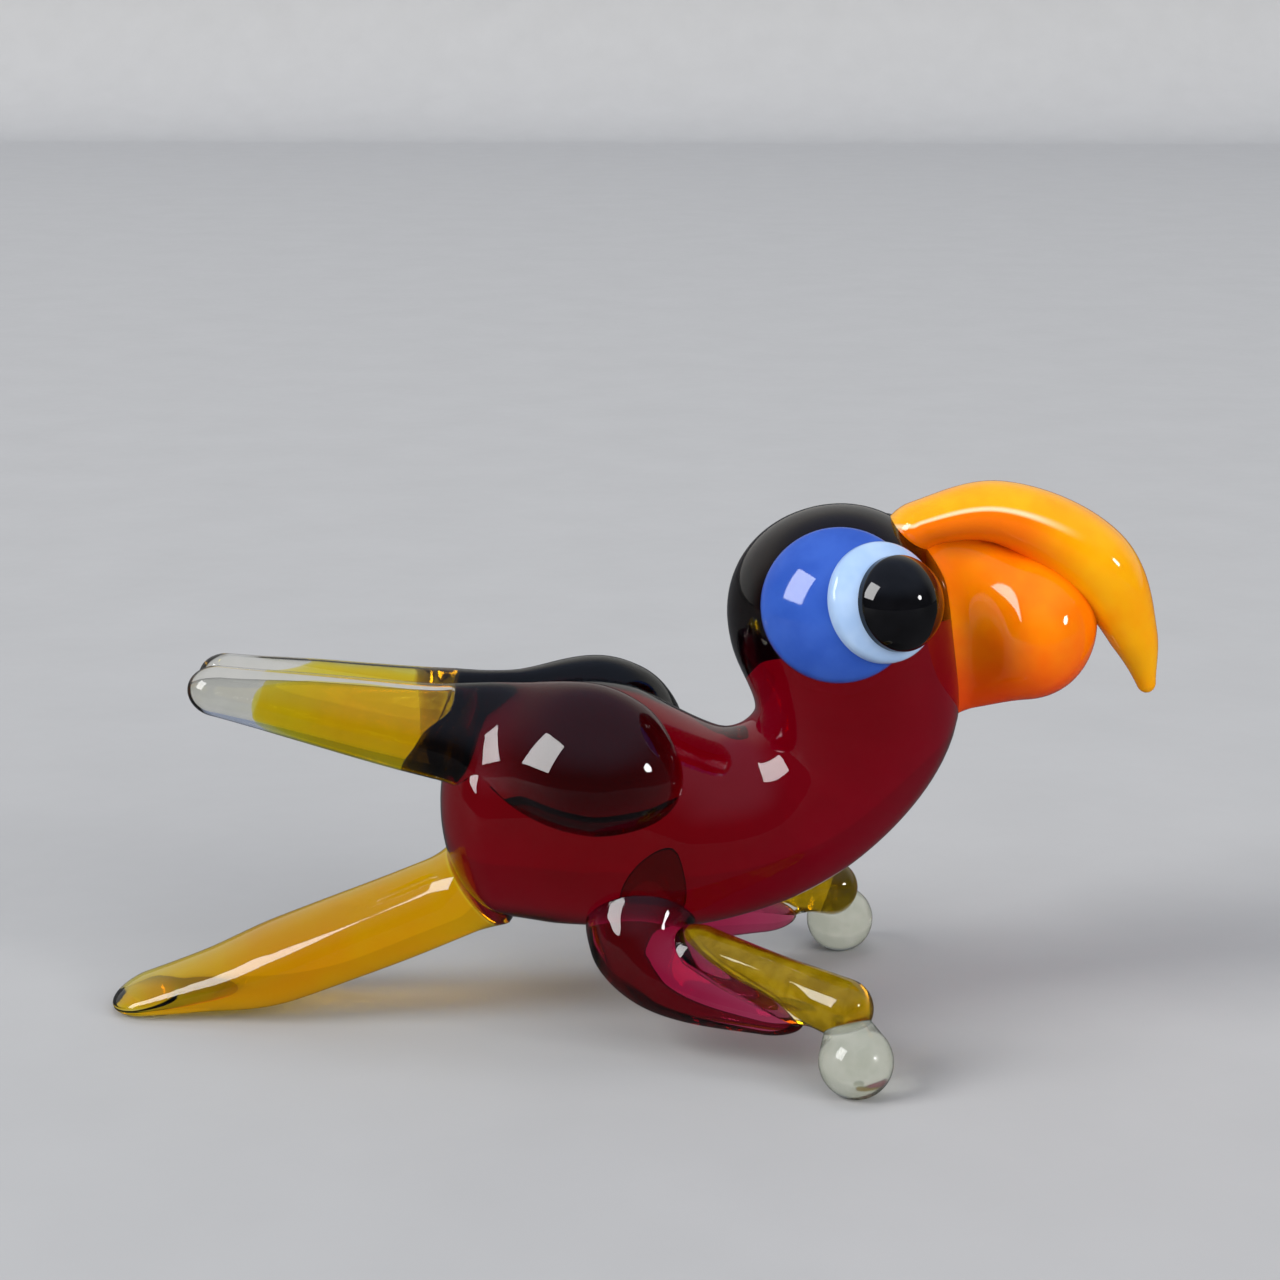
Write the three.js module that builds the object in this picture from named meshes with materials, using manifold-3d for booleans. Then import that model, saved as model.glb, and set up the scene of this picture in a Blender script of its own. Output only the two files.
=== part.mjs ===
import * as THREE from 'three';
import { mergeVertices } from 'three/addons/utils/BufferGeometryUtils.js';
import Module from 'manifold-3d';

const wasm = await Module();
wasm.setup();

// Small lampworked glass parrot in millimetres: +Z up, beak toward +X, right wing toward -Y.
// It stands on two toe beads and the tip of the tail, and the ground is z = 0.
// Every piece is a drawn glass rod or a melted dot. The origin ends up under the middle of the figure.

// Seams and standing flats
const SEAM_GAP = 0.2;
const STAND_FLAT = 0.14;

// Body: one ruby gather from rump to crown. Its rump, breast and head are placed from the middle of the
// torso axis, its neck from the head and its crop from the neck.
const TORSO_AXIS_HEIGHT = 10.0;
const TORSO_HALF_HEIGHT = 5.6;
const TORSO_HALF_WIDTH = 5.3;
const RUMP_LENGTH = 6.7;
const RUMP_DROP = 0.3;
const RUMP_RADIUS = 4.6;
const RUMP_ROUNDING = 2.4;
const BREAST_REACH = 4.5;
const BREAST_DROP = 0.5;
const BREAST_RADIUS = 4.9;
const HEAD_REACH = 11.1;
const HEAD_RISE = 8.7;
const HEAD_RADIUS = 5.0;
const NECK_AHEAD_OF_HEAD = 0.8;
const NECK_BELOW_HEAD = 4.2;
const NECK_RADIUS = 4.4;
const CROP_BEHIND_NECK = 3.1;
const CROP_BELOW_NECK = 3.8;
const CROP_RADIUS = 4.3;

// Wings: a dark ruby lobe on the end of a cased rod, leaning on the shoulder of the torso. The lobe is
// drawn in to a waist ahead of the joint with the rod.
const WING_SEAT_ANGLE = 40;
const WING_SINK = 0.6;
const WING_LEAN = 38;
const WING_HALF_HEIGHT = 3.35;
const WING_HALF_THICKNESS = 2.2;
const WING_FRONT_REACH = 4.0;
const WING_FRONT_DROP = 1.55;
const WING_FRONT_SPREAD = 0.7;
const WING_FRONT_HALF_HEIGHT = 2.5;
const WING_FRONT_HALF_THICKNESS = 1.7;
const WING_FRONT_ROUNDING = 3.0;
const WING_WAIST_REACH = 4.0;
const WING_WAIST_RISE = 0.45;
const WING_WAIST_SPREAD = 2.1;
const WING_WAIST_HALF_HEIGHT = 2.6;
const WING_WAIST_HALF_THICKNESS = 1.35;
const WING_JOINT_REACH = 6.9;
const WING_JOINT_RISE = 0.7;
const WING_JOINT_TILT = 22;
const TIP_LENGTH = 10.8;
const TIP_RISE = 1.7;
const TIP_ROOT_HALF_HEIGHT = 2.15;
const TIP_ROOT_HALF_THICKNESS = 1.5;
const TIP_ROOT_SPREAD = 1.9;
const TIP_END_HALF_HEIGHT = 1.05;
const TIP_END_HALF_THICKNESS = 0.95;
const TIP_END_SPREAD = 1.2;
const TIP_END_ROUNDING = 1.2;
const TIP_CORE_WALL = 0.5;
const TIP_CORE_SIDE_WALL = 0.4;
const TIP_CORE_ROUNDING = 0.4;
const TIP_CORE_DROP = 0.2;
const TIP_CLEAR_END = 3.0;

// Tail: a cased rod from the rump down to the ground, sagging a little, drawn out to a flat wedge.
const TAIL_LENGTH = 15.3;
const TAIL_ROOT_DEPTH = 2.4;
const TAIL_ROOT_DROP = 3.3;
const TAIL_ROOT_HALF_THICKNESS = 1.9;
const TAIL_ROOT_HALF_WIDTH = 2.1;
const TAIL_HALF_THICKNESS = 1.85;
const TAIL_HALF_WIDTH = 2.7;
const TAIL_SAG = 0.72;
const TAIL_WEDGE_LENGTH = 8.2;
const TAIL_END_HALF_THICKNESS = 0.55;
const TAIL_END_HALF_WIDTH = 2.0;
const TAIL_END_ROUNDING = 1.5;
const TAIL_CORE_WALL = 0.45;
const TAIL_CLEAR_END = 0.9;

// Legs: ruby thigh horns under cased feet, each foot ending in a clear toe bead. The roots of foot and
// thigh and the knee hang below the torso axis, so they rise with it while the toe beads keep the ground.
const TOE_BEAD_RADIUS = 1.6;
const TOE_REACH = 11.7;
const TOE_SPREAD = 8.8;
const FOOT_RADIUS = 1.15;
const FOOT_END_RADIUS = 1.35;
const FOOT_END_RISE = 1.85;
const FOOT_END_INSET = 0.8;
const FOOT_OVERHANG = 0.7;
const FOOT_ROOT_REACH = 4.1;
const FOOT_ROOT_SPREAD = 4.2;
const FOOT_ROOT_DROP = 5.0;
const FOOT_CORE_WALL = 0.5;
const FOOT_CLEAR_END = 0.6;
const THIGH_ROOT_REACH = 1.6;
const THIGH_ROOT_SPREAD = 2.4;
const THIGH_ROOT_DROP = 3.6;
const THIGH_ROOT_RADIUS = 2.6;
const THIGH_KNEE_REACH = 3.2;
const THIGH_KNEE_SPREAD = 4.4;
const THIGH_KNEE_DROP = 6.1;
const THIGH_KNEE_RADIUS = 1.9;
const THIGH_END_BACK = 3.2;
const THIGH_END_DROP = 1.5;
const THIGH_END_RADIUS = 0.8;
const THIGH_END_ROUNDING = 1.6;

// Beak: two opaque pieces on the face, placed from the centre of the head.
const LOWER_BEAK_REACH = 8.2;
const LOWER_BEAK_DROP = 0.2;
const LOWER_BEAK_HALF_HEIGHT = 3.35;
const LOWER_BEAK_HALF_WIDTH = 3.0;
const LOWER_BEAK_ROOT_HALF_HEIGHT = 3.95;
const LOWER_BEAK_ROOT_HALF_WIDTH = 1.6;
const UPPER_BEAK_ROOT_REACH = 2.2;
const UPPER_BEAK_ROOT_RISE = 3.95;
const UPPER_BEAK_ROOT_HALF_HEIGHT = 0.9;
const UPPER_BEAK_ROOT_HALF_WIDTH = 1.5;
const UPPER_BEAK_ARCH_REACH = 6.7;
const UPPER_BEAK_ARCH_RISE = 4.75;
const UPPER_BEAK_ARCH_HALF_HEIGHT = 1.35;
const UPPER_BEAK_ARCH_HALF_WIDTH = 1.85;
const UPPER_BEAK_BEND_REACH = 11.0;
const UPPER_BEAK_BEND_RISE = 2.5;
const UPPER_BEAK_BEND_HALF_HEIGHT = 1.7;
const UPPER_BEAK_BEND_HALF_WIDTH = 2.1;
const UPPER_BEAK_HOOK_REACH = 12.85;
const UPPER_BEAK_HOOK_DROP = 0.8;
const UPPER_BEAK_HOOK_HALF_HEIGHT = 1.05;
const UPPER_BEAK_HOOK_HALF_WIDTH = 1.35;
const UPPER_BEAK_TIP_REACH = 13.6;
const UPPER_BEAK_TIP_DROP = 3.3;
const UPPER_BEAK_TIP_RADIUS = 0.35;

// Eyes: three melted dots on each side of the head, aimed from the centre of the head in degrees.
// Spread is a dot's radius, and rise is its height over the surface that it is melted onto.
const EYE_PATCH_FORWARD = -4;
const EYE_PATCH_UP = 21;
const EYE_PATCH_SPREAD = 3.35;
const EYE_PATCH_RISE = 0.65;
const EYE_WHITE_FORWARD = 21.5;
const EYE_WHITE_UP = 20;
const EYE_WHITE_SPREAD = 2.6;
const EYE_WHITE_RISE = 0.55;
const PUPIL_FORWARD = 26;
const PUPIL_UP = 18;
const PUPIL_SPREAD = 2.05;
const PUPIL_RISE = 1.2;
const DOT_EDGE = 0.12;
const DOT_ROOT = 2.0;

// Colours, with the roughness of fire-polished glass
const RUBY = { color: 0x6e0410, roughness: 0.06 };
const DARK_RUBY = { color: 0x36150f, roughness: 0.06 };
const CLEAR = { color: 0xd4d8cf, roughness: 0.05 };
const YELLOW = { color: 0xbf9a00, roughness: 0.1 };
const AMBER = { color: 0xcc9200, roughness: 0.1 };
const PALE_AMBER = { color: 0xdcc27a, roughness: 0.05 };
const OLIVE = { color: 0xa5870c, roughness: 0.1 };
const ORANGE = { color: 0xff9a06, roughness: 0.12 };
const RED_ORANGE = { color: 0xf8700c, roughness: 0.12 };
const BLUE = { color: 0x3d68d6, roughness: 0.1 };
const WHITE = { color: 0xdde8f8, roughness: 0.1 };
const BLACK = { color: 0x07070a, roughness: 0.06 };

const RIGHT = -1;
const LEFT = 1;
const SIDEWAYS = new THREE.Vector3(0, 1, 0);
const REACH_OF_CUTS = 120;

function point(x, y, z) {
  return new THREE.Vector3(x, y, z);
}

function radians(degrees) {
  return THREE.MathUtils.degToRad(degrees);
}

// Turns a closed geometry into a solid that can be joined and cut.
function solidOf(geometry) {
  geometry.deleteAttribute('normal');
  geometry.deleteAttribute('uv');
  const merged = mergeVertices(geometry);
  const index = merged.index.array;
  const triangles = [];
  for (let corner = 0; corner < index.length; corner += 3) {
    const [a, b, c] = [index[corner], index[corner + 1], index[corner + 2]];
    if (a !== b && b !== c && c !== a) {
      triangles.push(a, b, c);
    }
  }
  merged.setIndex(triangles);
  return merged;
}

function manifoldOf(geometry) {
  return new wasm.Manifold(new wasm.Mesh({
    numProp: 3,
    vertProperties: new Float32Array(geometry.attributes.position.array),
    triVerts: new Uint32Array(geometry.index.array),
  }));
}

// Value of a list of stations at parameter t, smoothed the same way as the spine through them.
function stationValue(values, t) {
  const line = new THREE.SplineCurve(values.map((value, station) => new THREE.Vector2(station, value)));
  return line.getPoint(t).y;
}

// Share of the full radius at a distance from a rounded end.
function roundedEnd(distance, rounding) {
  if (distance >= rounding) {
    return 1;
  }
  const inset = (rounding - distance) / rounding;
  return Math.sqrt(Math.max(0, 1 - inset * inset));
}

// A drawn rod: a turned profile with rounded ends, bent along a spine, with an oval section whose
// half-width lies along form.side. A grown rod is larger by the same distance all round.
function rod(form, grow = 0) {
  const spine = form.spine.map((station) => station.clone());
  const last = spine.length - 1;
  spine[0].addScaledVector(form.spine[0].clone().sub(form.spine[1]).normalize(), grow);
  spine[last].addScaledVector(form.spine[last].clone().sub(form.spine[last - 1]).normalize(), grow);
  const curve = new THREE.CatmullRomCurve3(spine);
  const length = curve.getLength();
  const profile = [];
  for (let ring = 0; ring <= form.rings; ring += 1) {
    const share = 0.5 - 0.5 * Math.cos(Math.PI * ring / form.rings);
    const start = roundedEnd(share * length, form.startRounding + grow);
    const end = roundedEnd((1 - share) * length, form.endRounding + grow);
    const onAxis = ring === 0 || ring === form.rings;
    profile.push(new THREE.Vector2(onAxis ? 0 : start * end, share));
  }
  const geometry = solidOf(new THREE.LatheGeometry(profile, form.sides));
  bend(geometry, curve, form, grow);
  return manifoldOf(geometry);
}

function bend(geometry, curve, form, grow) {
  const vertices = geometry.attributes.position;
  for (let vertex = 0; vertex < vertices.count; vertex += 1) {
    const t = curve.getUtoTmapping(THREE.MathUtils.clamp(vertices.getY(vertex), 0, 1));
    const along = curve.getTangent(t);
    const across = form.side.clone().addScaledVector(along, -form.side.dot(along)).normalize();
    const upward = across.clone().cross(along);
    const place = curve.getPoint(t);
    place.addScaledVector(across, vertices.getX(vertex) * (stationValue(form.widths, t) + grow));
    place.addScaledVector(upward, vertices.getZ(vertex) * (stationValue(form.heights, t) + grow));
    vertices.setXYZ(vertex, place.x, place.y, place.z);
  }
}

function ball(centre, radius, direction, sides) {
  const geometry = new THREE.SphereGeometry(radius, sides, sides / 2);
  const turn = new THREE.Quaternion().setFromUnitVectors(SIDEWAYS, direction.clone().normalize());
  geometry.applyQuaternion(turn);
  geometry.translate(centre.x, centre.y, centre.z);
  return manifoldOf(solidOf(geometry));
}

// Everything on the side of a plane that its normal points to.
function halfSpace(onPlane, normal) {
  const geometry = new THREE.BoxGeometry(REACH_OF_CUTS, REACH_OF_CUTS, REACH_OF_CUTS);
  geometry.translate(0, 0, REACH_OF_CUTS / 2);
  const turn = new THREE.Quaternion().setFromUnitVectors(point(0, 0, 1), normal.clone().normalize());
  geometry.applyQuaternion(turn);
  geometry.translate(onPlane.x, onPlane.y, onPlane.z);
  return manifoldOf(solidOf(geometry));
}

function nodeOf(name, solid, finish) {
  const mesh = solid.getMesh();
  const geometry = new THREE.BufferGeometry();
  geometry.setAttribute('position', new THREE.Float32BufferAttribute(mesh.vertProperties, 3));
  geometry.setIndex(Array.from(mesh.triVerts));
  geometry.computeVertexNormals();
  const material = new THREE.MeshStandardMaterial({ ...finish, metalness: 0 });
  const node = new THREE.Mesh(geometry, material);
  node.name = name;
  return node;
}

const ground = halfSpace(point(0, 0, 0), point(0, 0, -1));

// Body
const torso = point(0, 0, TORSO_AXIS_HEIGHT);
const head = point(HEAD_REACH, 0, TORSO_AXIS_HEIGHT + HEAD_RISE);
const neck = point(head.x + NECK_AHEAD_OF_HEAD, 0, head.z - NECK_BELOW_HEAD);
const crop = point(neck.x - CROP_BEHIND_NECK, 0, neck.z - CROP_BELOW_NECK);
const rumpEnd = point(-RUMP_LENGTH, 0, TORSO_AXIS_HEIGHT - RUMP_DROP);
const frontRadii = [BREAST_RADIUS, CROP_RADIUS, NECK_RADIUS, HEAD_RADIUS, HEAD_RADIUS];
const bodyForm = {
  spine: [
    rumpEnd,
    torso,
    point(BREAST_REACH, 0, TORSO_AXIS_HEIGHT - BREAST_DROP),
    crop,
    neck,
    head,
    head.clone().add(point(0, 0, HEAD_RADIUS)),
  ],
  heights: [RUMP_RADIUS, TORSO_HALF_HEIGHT, ...frontRadii],
  widths: [RUMP_RADIUS, TORSO_HALF_WIDTH, ...frontRadii],
  startRounding: RUMP_ROUNDING,
  endRounding: HEAD_RADIUS,
  side: SIDEWAYS,
  rings: 32,
  sides: 26,
};
const body = rod(bodyForm);
const roomForBody = rod(bodyForm, SEAM_GAP);

// Wing and wing tip are one drawn form, split at a slanting joint.
function wingForm(hand) {
  const seat = radians(WING_SEAT_ANGLE);
  const middle = point(
    0,
    hand * (TORSO_HALF_WIDTH - WING_SINK) * Math.cos(seat),
    TORSO_AXIS_HEIGHT + (TORSO_HALF_HEIGHT - WING_SINK) * Math.sin(seat),
  );
  const front = middle.clone().add(point(WING_FRONT_REACH, hand * WING_FRONT_SPREAD, -WING_FRONT_DROP));
  const waist = point(-WING_WAIST_REACH, hand * WING_WAIST_SPREAD, middle.z + WING_WAIST_RISE);
  const joint = point(-WING_JOINT_REACH, hand * TIP_ROOT_SPREAD, middle.z + WING_JOINT_RISE);
  const end = point(joint.x - TIP_LENGTH, hand * TIP_END_SPREAD, joint.z + TIP_RISE);
  const lean = radians(WING_LEAN);
  return {
    spine: [front, middle, waist, joint, joint.clone().lerp(end, 0.5), end],
    heights: [
      WING_FRONT_HALF_HEIGHT,
      WING_HALF_HEIGHT,
      WING_WAIST_HALF_HEIGHT,
      TIP_ROOT_HALF_HEIGHT,
      (TIP_ROOT_HALF_HEIGHT + TIP_END_HALF_HEIGHT) / 2,
      TIP_END_HALF_HEIGHT,
    ],
    widths: [
      WING_FRONT_HALF_THICKNESS,
      WING_HALF_THICKNESS,
      WING_WAIST_HALF_THICKNESS,
      TIP_ROOT_HALF_THICKNESS,
      (TIP_ROOT_HALF_THICKNESS + TIP_END_HALF_THICKNESS) / 2,
      TIP_END_HALF_THICKNESS,
    ],
    startRounding: WING_FRONT_ROUNDING,
    endRounding: TIP_END_ROUNDING,
    side: point(0, hand * Math.cos(lean), Math.sin(lean)),
    rings: 28,
    sides: 16,
  };
}

function tipCoreForm(wing) {
  const [joint, half, end] = wing.spine.slice(-3);
  const toEnd = end.clone().sub(joint).normalize();
  const root = joint.clone().addScaledVector(toEnd, -TIP_ROOT_HALF_HEIGHT);
  const coreEnd = end.clone().addScaledVector(toEnd, -TIP_CLEAR_END);
  const lowered = point(0, 0, -TIP_CORE_DROP);
  return {
    spine: [root.add(lowered), half.clone().add(lowered), coreEnd.add(lowered)],
    heights: wing.heights.slice(-3).map((height) => height - TIP_CORE_WALL),
    widths: wing.widths.slice(-3).map((width) => width - TIP_CORE_SIDE_WALL),
    startRounding: TIP_CORE_ROUNDING,
    endRounding: TIP_CORE_ROUNDING,
    side: wing.side,
    rings: 9,
    sides: 12,
  };
}

function makeWing(hand) {
  const form = wingForm(hand);
  const coreForm = tipCoreForm(form);
  const joint = form.spine.at(-3);
  const tilt = radians(WING_JOINT_TILT);
  const backward = point(-Math.cos(tilt), 0, Math.sin(tilt));
  const otherSide = halfSpace(point(0, hand * SEAM_GAP / 2, 0), point(0, -hand, 0));
  const behindJoint = halfSpace(joint, backward);
  const tipRoot = joint.clone().addScaledVector(backward, SEAM_GAP);
  const aheadOfTip = halfSpace(tipRoot, backward.clone().negate());
  const whole = rod(form).subtract(roomForBody).subtract(otherSide);
  const core = rod(coreForm).subtract(aheadOfTip).subtract(roomForBody).subtract(otherSide);
  const tip = whole.subtract(aheadOfTip).subtract(rod(coreForm, SEAM_GAP));
  return { lobe: whole.subtract(behindJoint), tip, core };
}

// Tail: its free end sinks until the underside rests on the ground. The core is the same form, thinner by
// a wall all round and shorter by the clear end.
function tailForm(wall, clearEnd) {
  const root = point(rumpEnd.x + TAIL_ROOT_DEPTH, 0, rumpEnd.z - TAIL_ROOT_DROP);
  const end = point(rumpEnd.x - TAIL_LENGTH, 0, TAIL_END_HALF_THICKNESS);
  const toRoot = root.clone().sub(end).normalize();
  const wedge = end.clone().addScaledVector(toRoot, TAIL_WEDGE_LENGTH);
  const freeEnd = end.clone().addScaledVector(toRoot, clearEnd);
  const thinning = wedge.clone().lerp(freeEnd, 0.5);
  wedge.z -= TAIL_SAG;
  thinning.z -= TAIL_SAG * 0.7;
  const endShare = 1 - clearEnd / TAIL_WEDGE_LENGTH;
  const endThickness = THREE.MathUtils.lerp(TAIL_HALF_THICKNESS, TAIL_END_HALF_THICKNESS, endShare);
  const endWidth = THREE.MathUtils.lerp(TAIL_HALF_WIDTH, TAIL_END_HALF_WIDTH, endShare);
  const thinningThickness = (TAIL_HALF_THICKNESS + endThickness) / 2;
  const thinningWidth = (TAIL_HALF_WIDTH + endWidth) / 2;
  const heights = [TAIL_ROOT_HALF_THICKNESS, TAIL_HALF_THICKNESS, thinningThickness, endThickness];
  const widths = [TAIL_ROOT_HALF_WIDTH, TAIL_HALF_WIDTH, thinningWidth, endWidth];
  return {
    spine: [root, wedge, thinning, freeEnd],
    heights: heights.map((height) => height - wall),
    widths: widths.map((width) => width - wall),
    startRounding: SEAM_GAP,
    endRounding: TAIL_END_ROUNDING - wall,
    side: SIDEWAYS,
    rings: 20,
    sides: 16,
  };
}

function settle(form, core) {
  const drop = rod(form).boundingBox().min[2] + STAND_FLAT;
  for (const { spine } of [form, core]) {
    spine.forEach((station, index) => {
      station.z -= drop * index / (spine.length - 1);
    });
  }
}

function makeTail() {
  const form = tailForm(0, 0);
  const coreForm = tailForm(TAIL_CORE_WALL, TAIL_CLEAR_END);
  settle(form, coreForm);
  settle(form, coreForm);
  const core = rod(coreForm).subtract(roomForBody);
  const casing = rod(form).subtract(roomForBody).subtract(ground).subtract(rod(coreForm, SEAM_GAP));
  return { casing, core };
}

// Legs
function footForm(hand, wall, clearEnd) {
  const toe = point(TOE_REACH, hand * TOE_SPREAD, TOE_BEAD_RADIUS - STAND_FLAT);
  const end = toe.clone().add(point(0, -hand * FOOT_END_INSET, FOOT_END_RISE));
  const root = point(FOOT_ROOT_REACH, hand * FOOT_ROOT_SPREAD, TORSO_AXIS_HEIGHT - FOOT_ROOT_DROP);
  const toRoot = root.clone().sub(end).normalize();
  const freeEnd = end.clone().addScaledVector(toRoot, clearEnd - FOOT_OVERHANG);
  return {
    toe,
    spine: [root, root.clone().lerp(end, 0.55), freeEnd],
    heights: [FOOT_RADIUS - wall, FOOT_RADIUS - wall, FOOT_END_RADIUS - wall],
    widths: [FOOT_RADIUS - wall, FOOT_RADIUS - wall, FOOT_END_RADIUS - wall],
    startRounding: FOOT_RADIUS - wall,
    endRounding: FOOT_END_RADIUS - wall,
    side: SIDEWAYS,
    rings: 11,
    sides: 14,
  };
}

function thighForm(hand, foot) {
  const end = foot.spine[2].clone();
  const back = foot.spine[0].clone().sub(end).normalize();
  end.addScaledVector(back, THIGH_END_BACK);
  end.z -= THIGH_END_DROP;
  return {
    spine: [
      point(THIGH_ROOT_REACH, hand * THIGH_ROOT_SPREAD, TORSO_AXIS_HEIGHT - THIGH_ROOT_DROP),
      point(THIGH_KNEE_REACH, hand * THIGH_KNEE_SPREAD, TORSO_AXIS_HEIGHT - THIGH_KNEE_DROP),
      end,
    ],
    heights: [THIGH_ROOT_RADIUS, THIGH_KNEE_RADIUS, THIGH_END_RADIUS],
    widths: [THIGH_ROOT_RADIUS, THIGH_KNEE_RADIUS, THIGH_END_RADIUS],
    startRounding: THIGH_ROOT_RADIUS,
    endRounding: THIGH_END_ROUNDING,
    side: SIDEWAYS,
    rings: 13,
    sides: 14,
  };
}

function makeLeg(hand) {
  const form = footForm(hand, 0, 0);
  const coreForm = footForm(hand, FOOT_CORE_WALL, FOOT_CLEAR_END);
  const thighShape = thighForm(hand, form);
  const thigh = rod(thighShape).subtract(roomForBody);
  const roomForThigh = rod(thighShape, SEAM_GAP);
  const bead = ball(form.toe, TOE_BEAD_RADIUS, point(0, 0, 1), 16);
  const core = rod(coreForm).subtract(roomForBody).subtract(roomForThigh);
  const foot = rod(form).add(bead).subtract(ground).subtract(roomForBody).subtract(roomForThigh)
    .subtract(rod(coreForm, SEAM_GAP));
  return { thigh, foot, core };
}

// Beak
const lowerBeakReaches = [
  HEAD_RADIUS / 2,
  HEAD_RADIUS,
  LOWER_BEAK_REACH,
  LOWER_BEAK_REACH + LOWER_BEAK_HALF_WIDTH,
];
const lowerBeakForm = {
  spine: lowerBeakReaches.map((reach) => head.clone().add(point(reach, 0, -LOWER_BEAK_DROP))),
  heights: [
    LOWER_BEAK_ROOT_HALF_HEIGHT,
    LOWER_BEAK_ROOT_HALF_HEIGHT,
    LOWER_BEAK_HALF_HEIGHT,
    LOWER_BEAK_HALF_HEIGHT,
  ],
  widths: [
    LOWER_BEAK_ROOT_HALF_WIDTH,
    LOWER_BEAK_ROOT_HALF_WIDTH,
    LOWER_BEAK_HALF_WIDTH,
    LOWER_BEAK_HALF_WIDTH,
  ],
  startRounding: LOWER_BEAK_ROOT_HALF_WIDTH,
  endRounding: LOWER_BEAK_HALF_WIDTH,
  side: SIDEWAYS,
  rings: 14,
  sides: 20,
};

const upperBeakForm = {
  spine: [
    head.clone().add(point(UPPER_BEAK_ROOT_REACH, 0, UPPER_BEAK_ROOT_RISE)),
    head.clone().add(point(UPPER_BEAK_ARCH_REACH, 0, UPPER_BEAK_ARCH_RISE)),
    head.clone().add(point(UPPER_BEAK_BEND_REACH, 0, UPPER_BEAK_BEND_RISE)),
    head.clone().add(point(UPPER_BEAK_HOOK_REACH, 0, -UPPER_BEAK_HOOK_DROP)),
    head.clone().add(point(UPPER_BEAK_TIP_REACH, 0, -UPPER_BEAK_TIP_DROP)),
  ],
  heights: [
    UPPER_BEAK_ROOT_HALF_HEIGHT,
    UPPER_BEAK_ARCH_HALF_HEIGHT,
    UPPER_BEAK_BEND_HALF_HEIGHT,
    UPPER_BEAK_HOOK_HALF_HEIGHT,
    UPPER_BEAK_TIP_RADIUS,
  ],
  widths: [
    UPPER_BEAK_ROOT_HALF_WIDTH,
    UPPER_BEAK_ARCH_HALF_WIDTH,
    UPPER_BEAK_BEND_HALF_WIDTH,
    UPPER_BEAK_HOOK_HALF_WIDTH,
    UPPER_BEAK_TIP_RADIUS,
  ],
  startRounding: UPPER_BEAK_ROOT_HALF_HEIGHT,
  endRounding: UPPER_BEAK_TIP_RADIUS,
  side: SIDEWAYS,
  rings: 20,
  sides: 16,
};
const roomForLowerBeak = rod(lowerBeakForm, SEAM_GAP);
const lowerBeak = rod(lowerBeakForm).subtract(roomForBody);
const upperBeak = rod(upperBeakForm).subtract(roomForBody).subtract(roomForLowerBeak);

// Eyes: each dot is a dome with a short edge, melted onto the ball beneath it. Its underside is
// cut away one seam gap off that ball, and its own dome is the ball that carries the next dot.
function aimOnHead(hand, forward, up, distance) {
  const direction = point(
    Math.sin(radians(forward)) * Math.cos(radians(up)),
    hand * Math.cos(radians(forward)) * Math.cos(radians(up)),
    Math.sin(radians(up)),
  );
  return direction.multiplyScalar(distance).add(head);
}

function dotOn(base, aim, spread, rise) {
  const direction = aim.clone().sub(base.centre).normalize();
  const room = base.radius + SEAM_GAP;
  const edge = Math.sqrt(room * room - spread * spread) + DOT_EDGE;
  const crown = base.radius + rise;
  const radius = (spread * spread + (crown - edge) * (crown - edge)) / (2 * (crown - edge));
  const centre = base.centre.clone().addScaledVector(direction, crown - radius);
  return { direction, spread, centre, radius, edge: edge - crown + radius };
}

function dotSolid(dot, grow) {
  const profile = [
    new THREE.Vector2(0, dot.edge - DOT_ROOT),
    new THREE.Vector2(dot.spread + grow, dot.edge - DOT_ROOT),
  ];
  const rings = 7;
  const rimAngle = Math.asin((dot.spread + grow) / (dot.radius + grow));
  for (let ring = rings; ring >= 0; ring -= 1) {
    const angle = rimAngle * ring / rings;
    const onAxis = ring === 0;
    const radius = dot.radius + grow;
    profile.push(new THREE.Vector2(onAxis ? 0 : radius * Math.sin(angle), radius * Math.cos(angle)));
  }
  const geometry = new THREE.LatheGeometry(profile, 22);
  geometry.applyQuaternion(new THREE.Quaternion().setFromUnitVectors(SIDEWAYS, dot.direction));
  geometry.translate(dot.centre.x, dot.centre.y, dot.centre.z);
  return manifoldOf(solidOf(geometry));
}

function makeEye(hand) {
  const skull = { centre: head, radius: HEAD_RADIUS };
  const sight = HEAD_RADIUS + EYE_PATCH_RISE;
  const patchAim = aimOnHead(hand, EYE_PATCH_FORWARD, EYE_PATCH_UP, sight);
  const whiteAim = aimOnHead(hand, EYE_WHITE_FORWARD, EYE_WHITE_UP, sight);
  const pupilAim = aimOnHead(hand, PUPIL_FORWARD, PUPIL_UP, sight + EYE_WHITE_RISE);
  const patch = dotOn(skull, patchAim, EYE_PATCH_SPREAD, EYE_PATCH_RISE);
  const white = dotOn(patch, whiteAim, EYE_WHITE_SPREAD, EYE_WHITE_RISE);
  const pupil = dotOn(white, pupilAim, PUPIL_SPREAD, PUPIL_RISE);
  const onFace = roomForBody.add(roomForLowerBeak);
  const onPatch = onFace.add(dotSolid(patch, SEAM_GAP));
  const onWhite = onPatch.add(dotSolid(white, SEAM_GAP));
  return {
    patch: dotSolid(patch, 0).subtract(onFace),
    white: dotSolid(white, 0).subtract(onPatch),
    pupil: dotSolid(pupil, 0).subtract(onWhite),
  };
}

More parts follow.
